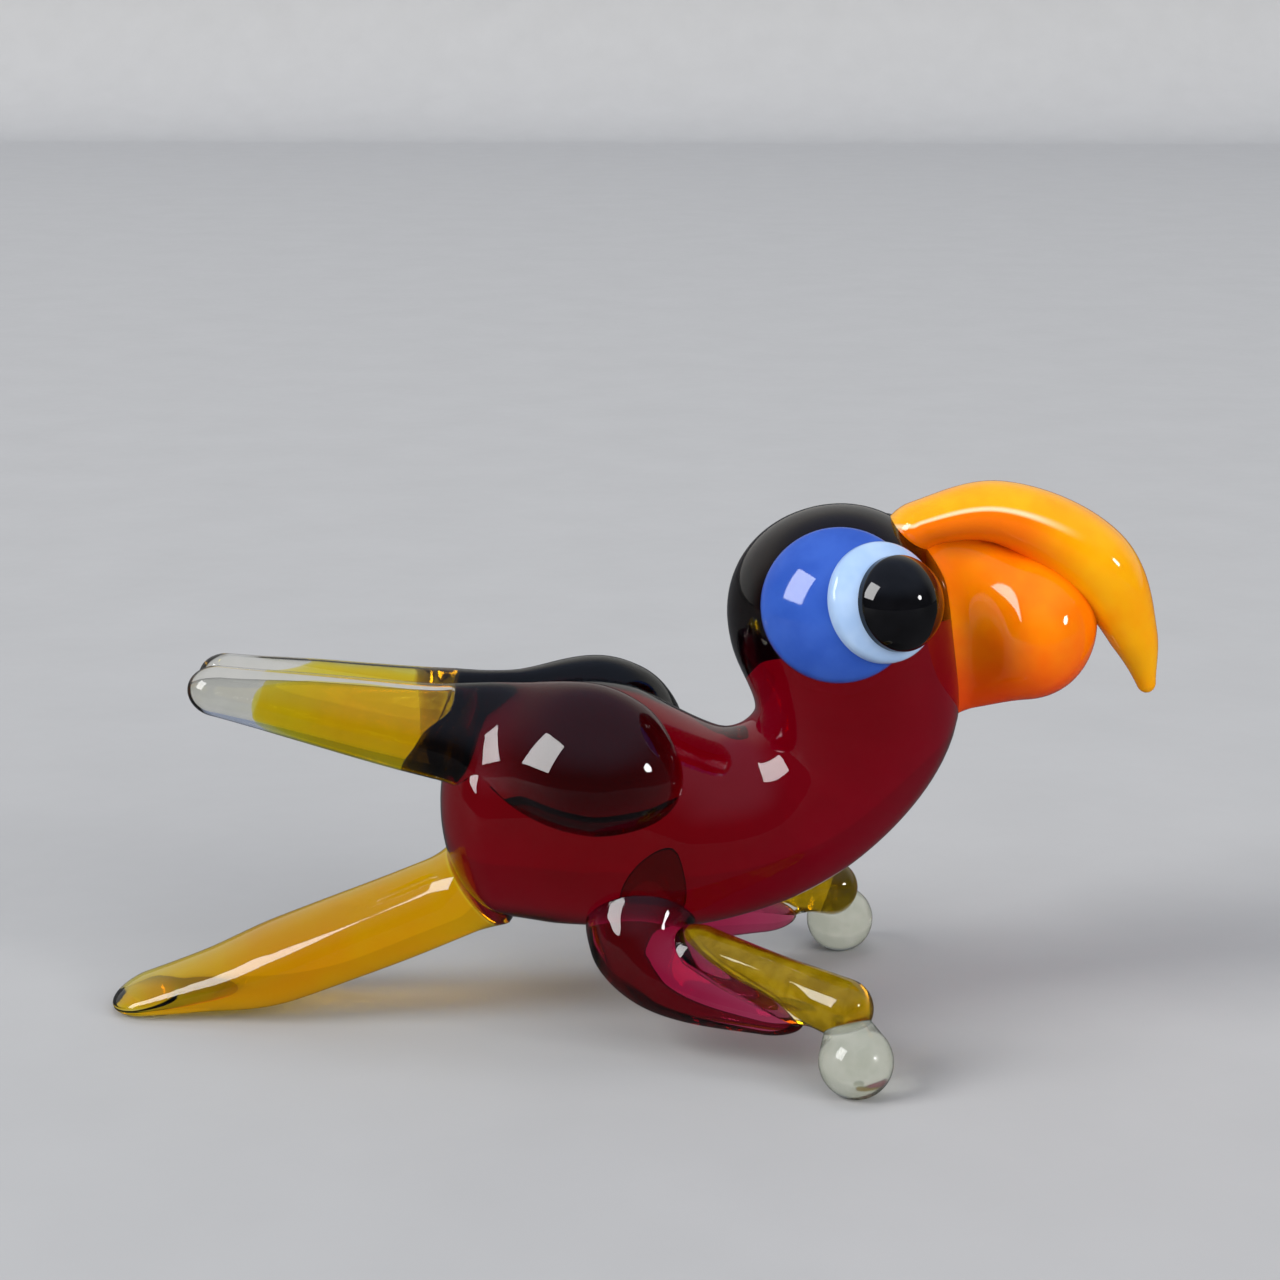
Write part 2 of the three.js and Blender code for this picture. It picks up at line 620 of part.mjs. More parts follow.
const parrot = new THREE.Group();
const tail = makeTail();
parrot.add(nodeOf('body', body, RUBY));
parrot.add(nodeOf('tail', tail.casing, PALE_AMBER));
parrot.add(nodeOf('tail_core', tail.core, AMBER));
parrot.add(nodeOf('lower_beak', lowerBeak, RED_ORANGE));
parrot.add(nodeOf('upper_beak', upperBeak, ORANGE));
for (const [side, hand] of [['right', RIGHT], ['left', LEFT]]) {
  const wing = makeWing(hand);
  const leg = makeLeg(hand);
  const eye = makeEye(hand);
  parrot.add(nodeOf(`${side}_wing`, wing.lobe, DARK_RUBY));
  parrot.add(nodeOf(`${side}_wing_tip`, wing.tip, CLEAR));
  parrot.add(nodeOf(`${side}_wing_tip_core`, wing.core, YELLOW));
  parrot.add(nodeOf(`${side}_thigh`, leg.thigh, RUBY));
  parrot.add(nodeOf(`${side}_foot`, leg.foot, CLEAR));
  parrot.add(nodeOf(`${side}_foot_core`, leg.core, OLIVE));
  parrot.add(nodeOf(`${side}_eye_patch`, eye.patch, BLUE));
  parrot.add(nodeOf(`${side}_eye_white`, eye.white, WHITE));
  parrot.add(nodeOf(`${side}_pupil`, eye.pupil, BLACK));
}

// The origin lies on the ground under the middle of the figure.
const extent = new THREE.Box3().setFromObject(parrot);
const centre = extent.getCenter(new THREE.Vector3());
parrot.position.set(-centre.x, -centre.y, 0);

export default parrot;
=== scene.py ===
"""Looks of a small lampworked glass parrot, built around its CAD frame.

Shapes are worked out in millimetres and scaled to metres when their meshes are finished.
+Z is up, the beak points to +X and the right wing is toward -Y.
"""

import math

import bpy
import numpy as np
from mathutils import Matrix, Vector
from mathutils.bvhtree import BVHTree


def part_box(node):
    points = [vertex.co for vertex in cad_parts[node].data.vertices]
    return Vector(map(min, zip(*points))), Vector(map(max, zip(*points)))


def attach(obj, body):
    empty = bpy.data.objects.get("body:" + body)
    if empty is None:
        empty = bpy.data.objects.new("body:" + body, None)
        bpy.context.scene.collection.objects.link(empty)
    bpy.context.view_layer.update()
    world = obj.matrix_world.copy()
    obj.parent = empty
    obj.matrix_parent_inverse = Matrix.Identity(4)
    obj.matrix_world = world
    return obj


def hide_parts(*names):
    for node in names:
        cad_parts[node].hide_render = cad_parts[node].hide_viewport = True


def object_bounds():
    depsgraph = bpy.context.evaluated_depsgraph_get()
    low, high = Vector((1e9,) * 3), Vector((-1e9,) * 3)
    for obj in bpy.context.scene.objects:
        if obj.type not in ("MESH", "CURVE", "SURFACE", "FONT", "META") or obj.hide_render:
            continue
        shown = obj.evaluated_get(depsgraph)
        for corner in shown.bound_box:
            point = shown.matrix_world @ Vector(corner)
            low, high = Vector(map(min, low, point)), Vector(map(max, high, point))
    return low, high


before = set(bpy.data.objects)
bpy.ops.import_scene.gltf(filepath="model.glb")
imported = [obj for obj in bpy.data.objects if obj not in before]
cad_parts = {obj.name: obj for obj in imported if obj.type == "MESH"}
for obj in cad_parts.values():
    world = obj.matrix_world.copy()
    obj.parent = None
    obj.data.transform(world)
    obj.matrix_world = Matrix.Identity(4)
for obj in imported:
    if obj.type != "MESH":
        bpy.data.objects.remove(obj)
cad_low, cad_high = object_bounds()

MM = 0.001
SIDEWAYS = np.array([0.0, 1.0, 0.0])
RIGHT = -1
LEFT = 1

# Fused glass has no seam, so each piece sinks this deep into the one that carries it.
OVERLAP = 0.04
# A core stops this far from the body or thigh that its casing is fused to.
CORE_GAP = 0.15
# The solids stand this far apart, and the dots of the eyes follow their forms.
SEAM_GAP = 0.2
# The edge of an eye's dome stands this far over that gap.
DOT_EDGE = 0.12
# How far the side of an eye's dot goes down below its rounded edge.
DOT_DEPTH = 1.2
# Mesh edges sharper than this stay sharp.
SHARP_ANGLE = math.radians(35)

# Torso, neck and head
RUMP_LENGTH = 6.7
RUMP_DROP = 0.3
AXIS_HEIGHT = 10.0
HEAD_RADIUS = 5.0
TORSO_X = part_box("body")[0].x / MM + RUMP_LENGTH
HEAD = np.array([TORSO_X + 11.1, 0.0, AXIS_HEIGHT + 8.7])

# Rods: steps along a spine, and how rings that crowd inside a tight bend are spread out.
SPINE_STEPS = 800
CROWDED_BELOW = 0.25
WIDEN_REPEATS = 4
BLUR_REPEATS = 10
RELAX_REPEATS = 250

# The tool that cuts a wing at its joint: half its breadth, its points across and its depth.
JOINT_REACH = 14
JOINT_STEPS = 141
JOINT_DEPTH = 40

# Refractive indices. A core bends no light where it touches its casing, which is glass too.
GLASS_INDEX = 1.5
CORE_INDEX = 1.0


def place(x, y, z):
    """A point given from the middle of the torso along x, and from the ground."""
    return np.array([TORSO_X + x, y, z])


def unit(vector):
    return np.asarray(vector) / np.linalg.norm(vector)


def hermite(first, second, first_slope, second_slope, part):
    cubic = 2 * first - 2 * second + first_slope + second_slope
    square = 3 * second - 3 * first - 2 * first_slope - second_slope
    return ((cubic * part + square) * part + first_slope) * part + first


def smooth_values(values, t):
    """Station values at parameters t from 0 to 1."""
    values = np.asarray(values, float)
    padded = np.concatenate([values[:1], values, values[-1:]])
    position = t * (len(values) - 1)
    segment = np.minimum(position.astype(int), len(values) - 2)
    before, first, second, after = (padded[segment + step] for step in range(4))
    return hermite(first, second, (second - before) / 2, (after - first) / 2, position - segment)


def smooth_points(stations, t):
    """Points of a centripetal spline through the stations at parameters t from 0 to 1."""
    stations = np.asarray(stations, float)
    lead = 2 * stations[0] - stations[1]
    tail = 2 * stations[-1] - stations[-2]
    padded = np.vstack([lead, stations, tail])
    position = t * (len(stations) - 1)
    segment = np.minimum(position.astype(int), len(stations) - 2)
    p0, p1, p2, p3 = (padded[segment + step] for step in range(4))
    pairs = ((p0, p1), (p1, p2), (p2, p3))
    d0, d1, d2 = (np.sqrt(np.linalg.norm(b - a, axis=1))[:, None] for a, b in pairs)
    first_slope = ((p1 - p0) / d0 - (p2 - p0) / (d0 + d1) + (p2 - p1) / d1) * d1
    second_slope = ((p2 - p1) / d1 - (p3 - p1) / (d1 + d2) + (p3 - p2) / d2) * d1
    return hermite(p1, p2, first_slope, second_slope, (position - segment)[:, None])


def eased(value, low, high):
    """A smooth step from 0 at low to 1 at high."""
    part = np.clip((value - low) / (high - low), 0, 1)
    return part * part * (3 - 2 * part)


def rounded_end(distance, rounding):
    """Share of the full radius at a distance from a rounded end."""
    inset = np.clip((rounding - distance) / rounding, 0, 1)
    return np.sqrt(1 - inset * inset)


class Shape:
    """A closed mesh in millimetres."""

    def __init__(self, vertices, faces):
        self.vertices = np.asarray(vertices, float)
        self.faces = faces

    def normals(self):
        total = np.zeros_like(self.vertices)
        for corners in (3, 4):
            chosen = np.array([face for face in self.faces if len(face) == corners], int)
            if len(chosen) == 0:
                continue
            points = self.vertices[chosen]
            first = points[:, 2] - points[:, 0]
            second = points[:, 2] - points[:, 1] if corners == 3 else points[:, 3] - points[:, 1]
            normal = np.cross(first, second)
            for corner in range(corners):
                np.add.at(total, chosen[:, corner], normal)
        return total / np.maximum(np.linalg.norm(total, axis=1), 1e-12)[:, None]

    def moved(self, amount):
        """The same shape with each vertex moved along its normal."""
        return Shape(self.vertices + self.normals() * np.reshape(amount, (-1, 1)), self.faces)

    def facing_outward(self):
        """Turns the faces over if they look inward."""
        from_middle = self.vertices - self.vertices.mean(axis=0)
        if np.einsum("ij,ij->i", self.normals(), from_middle).mean() < 0:
            self.faces = [tuple(reversed(face)) for face in self.faces]
        return self

    def tree(self):
        return BVHTree.FromPolygons(self.vertices.tolist(), self.faces)


def rod(spine, heights, widths, start, end, rings, sides, side=SIDEWAYS):
    """A drawn rod with an oval section: widths lie along side, heights across it.

    Start and end are the lengths over which its ends are rounded.
    """
    t = np.linspace(0, 1, SPINE_STEPS + 1)
    centre = smooth_points(spine, t)
    arc = np.concatenate([[0], np.cumsum(np.linalg.norm(np.diff(centre, axis=0), axis=1))])
    slope = np.gradient(centre, arc, axis=0)
    high = smooth_values(heights, t)
    wide = smooth_values(widths, t)
    at = arc[-1] * (0.5 - 0.5 * np.cos(np.pi * np.arange(rings + 1) / rings))
    middle = np.column_stack([np.interp(at, arc, centre[:, axis]) for axis in range(3)])
    along = np.column_stack([np.interp(at, arc, slope[:, axis]) for axis in range(3)])
    along /= np.linalg.norm(along, axis=1)[:, None]
    across = side - along * (along @ side)[:, None]
    across /= np.linalg.norm(across, axis=1)[:, None]
    upward = np.cross(across, along)
    share = rounded_end(at, start) * rounded_end(arc[-1] - at, end)
    across *= (share * np.interp(at, arc, wide))[:, None]
    upward *= (share * np.interp(at, arc, high))[:, None]
    turn = 2 * np.pi * np.arange(sides) / sides
    grid = (
        middle[1:-1, None]
        + across[1:-1, None] * np.cos(turn)[None, :, None]
        + upward[1:-1, None] * np.sin(turn)[None, :, None]
    )
    return lathe_shape(middle[0], unfolded(grid, middle[1:-1]), middle[-1])


def unfolded(grid, middle):
    """Fillets the inside of a tight bend, where the rings of a rod would cross."""
    gap = np.diff(middle, axis=0)
    pace = np.linalg.norm(gap, axis=1)
    progress = np.einsum("rsk,rk->rs", np.diff(grid, axis=0), gap) / pace[:, None] ** 2
    tight = eased(progress, CROWDED_BELOW, 0.0)
    weight = np.zeros(grid.shape[:2])
    weight[:-1] = tight
    weight[1:] = np.maximum(weight[1:], tight)
    if weight.max() == 0:
        return grid
    for repeat in range(WIDEN_REPEATS):
        along = np.maximum(weight[:-1], weight[1:])
        weight[:-1] = along
        weight[1:] = np.maximum(weight[1:], along)
        weight = np.maximum(weight, np.maximum(np.roll(weight, 1, 1), np.roll(weight, -1, 1)))
    for repeat in range(BLUR_REPEATS):
        weight[1:-1] = (weight[:-2] + 2 * weight[1:-1] + weight[2:]) / 4
        weight = (np.roll(weight, 1, 1) + 2 * weight + np.roll(weight, -1, 1)) / 4
    for repeat in range(RELAX_REPEATS):
        halfway = (grid[:-2] + grid[2:]) / 2
        grid[1:-1] += 0.5 * weight[1:-1, :, None] * (halfway - grid[1:-1])
    return grid


def lathe_shape(first, grid, last):
    """A closed shape from rings of points between two poles."""
    rings, sides = grid.shape[:2]
    vertices = np.vstack([first[None], grid.reshape(-1, 3), last[None]])
    final = len(vertices) - 1
    faces = []
    for corner in range(sides):
        following = (corner + 1) % sides
        faces.append((0, 1 + following, 1 + corner))
        for ring in range(rings - 1):
            row = 1 + ring * sides
            faces.append((row + corner, row + following, row + sides + following, row + sides + corner))
        row = 1 + (rings - 1) * sides
        faces.append((row + corner, row + following, final))
    return Shape(vertices, faces).facing_outward()


def ball(centre, radius, direction, rings, sides):
    """A sphere whose poles lie along a direction."""
    reach = unit(direction) * radius
    sizes = [radius] * 3
    return rod([centre - reach, centre, centre + reach], sizes, sizes, radius, radius, rings, sides)


def ragged_half_space(on_plane, normal, side, direction, offset):
    """The space behind a hand-worked joint, or ahead of it when direction is -1.

    The joint bulges back below its middle and forward above it.
    """
    steps = np.linspace(-JOINT_REACH, JOINT_REACH, JOINT_STEPS)
    across = unit(side - normal * np.dot(side, normal))
    upward = np.cross(normal, across) * np.sign(np.cross(normal, across)[2])
    right, high = np.meshgrid(steps, steps, indexing="ij")
    bulge = -0.5 * np.sin(np.pi * (high + 0.4) / 3.2)
    ripple = 0.06 * np.sin(3.0 * high + 1.6 * right + 1.0)
    depth = (bulge + ripple) * eased(np.abs(high), 4.0, 2.6) + offset
    flat = on_plane + right[..., None] * across + high[..., None] * upward
    face = flat + depth[..., None] * normal
    far = flat + JOINT_DEPTH * direction * normal
    count = len(steps)
    vertices = np.vstack([face.reshape(-1, 3), far.reshape(-1, 3)])
    faces = []
    for row in range(count - 1):
        for column in range(count - 1):
            corner = row * count + column
            quad = (corner, corner + count, corner + count + 1, corner + 1)
            faces.append(quad)
            faces.append(tuple(reversed([index + count * count for index in quad])))
    for step in range(count - 1):
        last = count - 1
        edges = [
            ((step + 1) * count, step * count),
            (step * count + last, (step + 1) * count + last),
            (step, step + 1),
            (last * count + step + 1, last * count + step),
        ]
        for first, second in edges:
            faces.append((first, second, second + count * count, first + count * count))
    return Shape(vertices, faces).facing_outward()


def wavy(shape, amount, length, phase):
    """Slow unevenness left by working the glass by hand."""
    total = np.zeros(len(shape.vertices))
    for turn, direction in enumerate(([1, 0.4, -0.6], [-0.5, 1, 0.7], [0.3, -0.8, 1])):
        wave = 2 * np.pi / (length * (1 + 0.35 * turn))
        total += np.sin(wave * (shape.vertices @ unit(direction)) + phase + 1.9 * turn)
    return shape.moved(amount * total / 3)


def melted(shape, carriers, reach, lift):
    """Swells a piece near the pieces it is fused to, as glass does where it melts together."""
    distance = np.full(len(shape.vertices), reach)
    for carrier in carriers:
        tree = carrier.tree()
        for index, vertex in enumerate(shape.vertices):
            spot, normal, _, length = tree.find_nearest(Vector(vertex), 2 * reach)
            if spot is None:
                continue
            signed = length if (Vector(vertex) - spot).dot(normal) > 0 else -length
            distance[index] = min(distance[index], signed)
    near = np.clip(1 - np.maximum(distance, -0.3 * reach) / reach, 0, None)
    return shape.moved(lift * near * near)


def make_object(name, shape):
    mesh = bpy.data.meshes.new(name)
    mesh.from_pydata(shape.vertices.tolist(), [], shape.faces)
    mesh.update()
    made = bpy.data.objects.new(name, mesh)
    bpy.context.scene.collection.objects.link(made)
    return made


def cut_mesh(shape, cutters):
    """The shape's mesh with the cutters taken away."""
    target = make_object("target", shape)
    tools = [make_object("tool", cutter) for cutter in cutters]
    for tool in tools:
        cut = target.modifiers.new("cut", "BOOLEAN")
        cut.operation = "DIFFERENCE"
        cut.solver = "MANIFOLD"
        cut.object = tool
    bpy.context.view_layer.update()
    mesh = bpy.data.meshes.new_from_object(target.evaluated_get(bpy.context.evaluated_depsgraph_get()))
    for spent in [target] + tools:
        data = spent.data
        bpy.data.objects.remove(spent)
        bpy.data.meshes.remove(data)
    return mesh


def finish_piece(name, mesh, material, replaced):
    """Scales a mesh to metres and makes it a piece of the object."""
    points = np.zeros(len(mesh.vertices) * 3, np.float32)
    mesh.vertices.foreach_get("co", points)
    points = points.reshape(-1, 3)
    points = np.clip(points, np.array(cad_low) / MM, np.array(cad_high) / MM)
    mesh.vertices.foreach_set("co", (points * MM).ravel())
    mesh.update()
    mesh.shade_smooth()
    mesh.set_sharp_from_angle(angle=SHARP_ANGLE)
    mesh.materials.clear()
    mesh.materials.append(material)
    mesh.name = name
    piece = bpy.data.objects.new(name, mesh)
    bpy.context.scene.collection.objects.link(piece)
    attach(piece, "root")
    if replaced:
        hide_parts(replaced)


def finish_node(node, mesh, material):
    """Makes the piece that takes the place of one node of the frame."""
    finish_piece(node + "_glass", mesh, material, node)


# Materials


class Nodes:
    """Makes the nodes of a tree and links them."""

    def __init__(self, tree):
        self.tree = tree

    def node(self, kind):
        return self.tree.nodes.new(kind)

    def link(self, source, target):
        self.tree.links.new(source, target)

    def axes(self, vector):
        """The X, Y and Z of a vector socket, by name."""
        split = self.node("ShaderNodeSeparateXYZ")
        self.link(vector, split.inputs["Vector"])
        return split.outputs

    def ranged(self, source, low, high, to_low=0.0, to_high=1.0):
        node = self.node("ShaderNodeMapRange")
        node.inputs["From Min"].default_value = low
        node.inputs["From Max"].default_value = high
        node.inputs["To Min"].default_value = to_low
        node.inputs["To Max"].default_value = to_high
        node.interpolation_type = "SMOOTHSTEP"
        self.link(source, node.inputs["Value"])
        return node.outputs["Result"]

    def mixed(self, factor, first, second):
        """A colour between two, each a list of three numbers or another node's output."""
        node = self.node("ShaderNodeMix")
        node.data_type = "RGBA"
        self.link(factor, node.inputs[0])
        for socket, value in ((node.inputs[6], first), (node.inputs[7], second)):
            if isinstance(value, (list, tuple)):
                socket.default_value = (*value, 1)
            else:
                self.link(value, socket)
        return node.outputs[2]

    def multiplied(self, first, second):
        node = self.node("ShaderNodeMath")
        node.operation = "MULTIPLY"
        self.link(first, node.inputs[0])
        self.link(second, node.inputs[1])
        return node.outputs[0]


class Paint(Nodes):
    """A node material around one Principled shader."""

    def __init__(self, name):
        self.material = bpy.data.materials.new(name)
        self.material.use_nodes = True
        super().__init__(self.material.node_tree)
        self.shader = self.tree.nodes["Principled BSDF"]
        self.output = self.tree.nodes["Material Output"]
        self.coordinate = self.node("ShaderNodeTexCoord").outputs["Object"]

    def set(self, **values):
        for name, value in values.items():
            self.shader.inputs[name.replace("_", " ")].default_value = value

    def noise(self, size, detail=2.0):
        """Noise with features of a size in millimetres."""
        noise = self.node("ShaderNodeTexNoise")
        noise.inputs["Scale"].default_value = 1 / (size * MM)
        noise.inputs["Detail"].default_value = detail
        self.link(self.coordinate, noise.inputs["Vector"])
        return noise.outputs["Fac"]

    def mottled(self, size, first, second, detail=2.0):
        """Soft patches of two colours, with features of a size in millimetres."""
        return self.mixed(self.ranged(self.noise(size, detail), 0.3, 0.7), first, second)

    def polish(self, low, high, size, bump):
        """Uneven fire polish: roughness between two values and a shallow bump."""
        self.link(self.ranged(self.noise(size), 0.3, 0.7, low, high), self.shader.inputs["Roughness"])
        node = self.node("ShaderNodeBump")
        node.inputs["Strength"].default_value = bump
        node.inputs["Distance"].default_value = 0.1 * MM
        self.link(self.noise(size * 1.7, 1.0), node.inputs["Height"])
        self.link(node.outputs["Normal"], self.shader.inputs["Normal"])

    def absorb(self, per_metre):
        """Tinted depth: how fast red, green and blue fade inside the glass."""
        density = max(per_metre) * 1.02
        node = self.node("ShaderNodeVolumeAbsorption")
        node.inputs["Color"].default_value = (*[1 - value / density for value in per_metre], 1)
        node.inputs["Density"].default_value = density
        self.link(node.outputs["Volume"], self.output.inputs["Volume"])


def clear_glass(
    name, tint_low, tint_high, fade, index=GLASS_INDEX, rough=(0.0, 0.02), bump=0.06, size=2.5, clear=1.0
):
    """Glass to look through, tinted by its depth where fade is given."""
    paint = Paint(name)
    paint.set(Transmission_Weight=clear, IOR=index)
    patches = paint.ranged(paint.noise(size, 3.0), 0.35, 0.65)
    paint.link(paint.mixed(patches, tint_low, tint_high), paint.shader.inputs["Base Color"])
    paint.polish(*rough, size, bump)
    if fade:
        paint.absorb(fade)
    return paint.material


def opaque_glass(name, color, rough=(0.03, 0.07), glow=None):
    """Opaque glass. Color is a function that takes the paint and returns a colour socket."""
    paint = Paint(name)
    paint.set(IOR=GLASS_INDEX)
    paint.link(color(paint), paint.shader.inputs["Base Color"])
    if glow:
        paint.set(Subsurface_Weight=glow[0], Subsurface_Radius=glow[1], Subsurface_Scale=0.6 * MM)
    paint.polish(*rough, size=1.6, bump=0.05)
    return paint.material


def lower_beak_color(paint):
    # Redder and darker towards the bottom, by height.
    height = paint.ranged(paint.axes(paint.coordinate)["Z"], 14.8 * MM, 19.5 * MM)
    deep = paint.mixed(height, [0.95, 0.062, 0.002], [1.0, 0.20, 0.001])
    pale = paint.mixed(height, [1.0, 0.085, 0.003], [1.0, 0.25, 0.001])
    return paint.mottled(1.6, deep, pale)


def upper_beak_color(paint):
    """Gold, with painted shade: orange where the surface faces down near the face, and a painted
    highlight as a pale streak between them.
    """
    facing = paint.axes(paint.node("ShaderNodeNewGeometry").outputs["Normal"])["Z"]
    near_face = paint.ranged(paint.axes(paint.coordinate)["X"], 20.0 * MM, 17.0 * MM)
    # Painted shade: orange-red where the surface faces down, near the face.
    under = paint.multiplied(paint.ranged(facing, 0.42, 0.30), near_face)
    gold = paint.mottled(1.8, [1.0, 0.37, 0.0], [1.0, 0.44, 0.003])
    gold_with_painted_shade = paint.mixed(under, gold, [1.0, 0.19, 0.002])
    # Painted highlight: a pale streak along the beak between the gold and the painted shade.
    painted_highlight = paint.multiplied(paint.ranged(facing, 0.30, 0.42), paint.ranged(facing, 0.56, 0.44))
    return paint.mixed(paint.multiplied(painted_highlight, near_face), gold_with_painted_shade, [1.0, 0.70, 0.40])


def blue_color(paint):
    return paint.mottled(1.5, [0.028, 0.090, 0.44], [0.040, 0.115, 0.50], detail=3.0)


def white_color(paint):
    return paint.mottled(1.2, [0.37, 0.53, 0.79], [0.45, 0.61, 0.85])


def black_color(paint):
    return paint.mottled(1.0, [0.0015, 0.0015, 0.002], [0.004, 0.004, 0.005])


ruby = clear_glass("ruby_glass", [0.52, 0.26, 0.28], [0.58, 0.32, 0.34], [85, 880, 430])
dark_ruby = clear_glass("dark_ruby_glass", [0.92, 0.8, 0.75], [1.0, 0.9, 0.85], [1100, 1250, 1250])
clear = clear_glass("clear_glass", [0.94, 0.95, 0.92], [1.0, 1.0, 0.98], None, bump=0.1, size=1.2)
milky = clear_glass(
    "milky_glass", [0.72, 0.75, 0.64], [0.86, 0.88, 0.78], None, rough=(0.08, 0.18), size=0.9, clear=0.9
)
pale_amber = clear_glass(
    "pale_amber_glass", [1.0, 0.93, 0.7], [1.0, 0.96, 0.8], [3, 45, 420], bump=0.1, size=1.6
)
yellow = clear_glass("yellow_core_glass", [1.0, 0.93, 0.7], [1.0, 1.0, 0.9], [10, 120, 1800], CORE_INDEX)
amber = clear_glass("amber_core_glass", [1.0, 0.90, 0.65], [1.0, 1.0, 0.85], [8, 115, 1300], CORE_INDEX)
olive = clear_glass(
    "olive_core_glass",
    [0.56, 0.39, 0.005],
    [0.78, 0.58, 0.03],
    [30, 110, 1200],
    CORE_INDEX,
    size=0.8,
    clear=0.75,
)
orange = opaque_glass("orange_glass", upper_beak_color, glow=(0.12, (1.0, 0.35, 0.05)))
red_orange = opaque_glass("red_orange_glass", lower_beak_color, glow=(0.12, (1.0, 0.3, 0.05)))
blue = opaque_glass("blue_glass", blue_color, glow=(0.15, (0.3, 0.5, 1.0)))
white = opaque_glass("white_glass", white_color, glow=(0.2, (0.8, 0.9, 1.0)))
black = opaque_glass("black_glass", black_color, rough=(0.02, 0.06))

# Body

head_radii = [4.4, HEAD_RADIUS, HEAD_RADIUS]
body_spine = [
    place(-RUMP_LENGTH, 0, AXIS_HEIGHT - RUMP_DROP),
    place(0, 0, AXIS_HEIGHT),
    place(4.5, 0, AXIS_HEIGHT - 0.9),
    HEAD + [-2.0, 0, -8.3],
    HEAD + [0.8, 0, -4.2],
    HEAD,
    HEAD + [0, 0, HEAD_RADIUS],
]
body_heights = [4.6, 5.6, 4.5, 3.9] + head_radii
body_widths = [4.6, 5.3, 4.9, 4.3] + head_radii
body = rod(body_spine, body_heights, body_widths, start=2.4, end=HEAD_RADIUS, rings=150, sides=112)
body = wavy(body, amount=0.04, length=9.0, phase=0.4)
body_inside = body.moved(-OVERLAP)
body_outside = body.moved(CORE_GAP)
finish_node("body", cut_mesh(body, []), ruby)


# Wings and their cased rods


def make_wing(hand, side_name):
    seat = math.radians(40)
    middle = place(0, hand * 4.7 * math.cos(seat), AXIS_HEIGHT + 5.0 * math.sin(seat))
    front = middle + [4.0, hand * 0.7, -1.55]
    waist = place(-4.0, hand * 2.1, middle[2] + 0.45)
    joint = place(-6.9, hand * 1.9, middle[2] + 0.7)
    end = joint + [-10.8, -hand * 0.7, 1.7]
    halfway = (joint + end) / 2
    lean = math.radians(38)
    side = np.array([0, hand * math.cos(lean), math.sin(lean)])
    heights = [2.5, 3.35, 2.6, 2.15, 1.6, 1.05]
    widths = [1.7, 2.2, 1.35, 1.5, 1.225, 0.95]
    spine = [front, middle, waist, joint, halfway, end]
    whole = rod(spine, heights, widths, start=3.0, end=1.2, rings=130, sides=88, side=side)
    whole = wavy(whole, amount=0.02, length=6.0, phase=1.3 + hand)
    whole = melted(whole, [body], reach=0.6, lift=0.08)
    tilt = math.radians(22)
    backward = np.array([-math.cos(tilt), 0, math.sin(tilt)])
    behind = ragged_half_space(joint, backward, side, 1, OVERLAP / 2)
    ahead = ragged_half_space(joint, backward, side, -1, -OVERLAP / 2)
    lobe_mesh = cut_mesh(whole, [body_inside, behind])
    casing_mesh = cut_mesh(whole, [body_inside, ahead])
    finish_node(side_name + "_wing", lobe_mesh, dark_ruby)
    finish_node(side_name + "_wing_tip", casing_mesh, clear)
    to_end = unit(end - joint)
    lowered = np.array([0, 0, -0.2])
    core_spine = [joint - to_end * 2.15 + lowered, halfway + lowered, end - to_end * 3.0 + lowered]
    core_heights = [1.65, 1.1, 0.55]
    core_widths = [1.1, 0.825, 0.55]
    core = rod(core_spine, core_heights, core_widths, start=0.4, end=0.4, rings=60, sides=48, side=side)
    core = wavy(core, amount=0.05, length=3.0, phase=0.3 + hand)
    ahead_of_core = ragged_half_space(joint, backward, side, -1, OVERLAP)
    core_mesh = cut_mesh(core, [ahead_of_core, body_outside])
    finish_node(side_name + "_wing_tip_core", core_mesh, yellow)


# Tail


def tail_rod(wall, clear_end, drop, rings, sides):
    """The tail's casing, or its core at a wall's depth that stops short of the clear end."""
    wedge_length = 8.2
    wedge_height = 1.85
    wedge_width = 2.7
    root = place(-RUMP_LENGTH + 2.4, 0, AXIS_HEIGHT - RUMP_DROP - 3.3)
    end = place(-RUMP_LENGTH - 15.3, 0, 0.55)
    to_root = unit(root - end)
    wedge = end + to_root * wedge_length
    free_end = end + to_root * clear_end
    thinning = (wedge + free_end) / 2
    spine = np.array([root, wedge - [0, 0, 0.72], thinning - [0, 0, 0.504], free_end])
    spine[:, 2] -= drop * np.arange(4) / 3
    share = 1 - clear_end / wedge_length
    end_height = wedge_height + (0.55 - wedge_height) * share
    end_width = wedge_width + (2.0 - wedge_width) * share
    heights = np.array([1.9, wedge_height, (wedge_height + end_height) / 2, end_height]) - wall
    widths = np.array([2.1, wedge_width, (wedge_width + end_width) / 2, end_width]) - wall
    return rod(spine, heights, widths, start=0.2, end=1.5 - wall, rings=rings, sides=sides)


def make_tail():
    clearance = 0.14
    drop = 0.0
    for repeat in range(2):
        drop += tail_rod(0, 0, drop, rings=90, sides=64).vertices[:, 2].min() + clearance
    casing = tail_rod(0, 0, drop, rings=120, sides=80)
    casing = wavy(casing, amount=0.06, length=4.5, phase=2.0)
    casing = melted(casing, [body], reach=1.4, lift=0.3)
    finish_node("tail", cut_mesh(casing, [body_inside]), pale_amber)
    core = tail_rod(0.4, 0.5, drop, rings=90, sides=56)
    core = wavy(core, amount=0.05, length=3.5, phase=0.9)
    finish_node("tail_core", cut_mesh(core, [body_outside]), amber)


# Legs


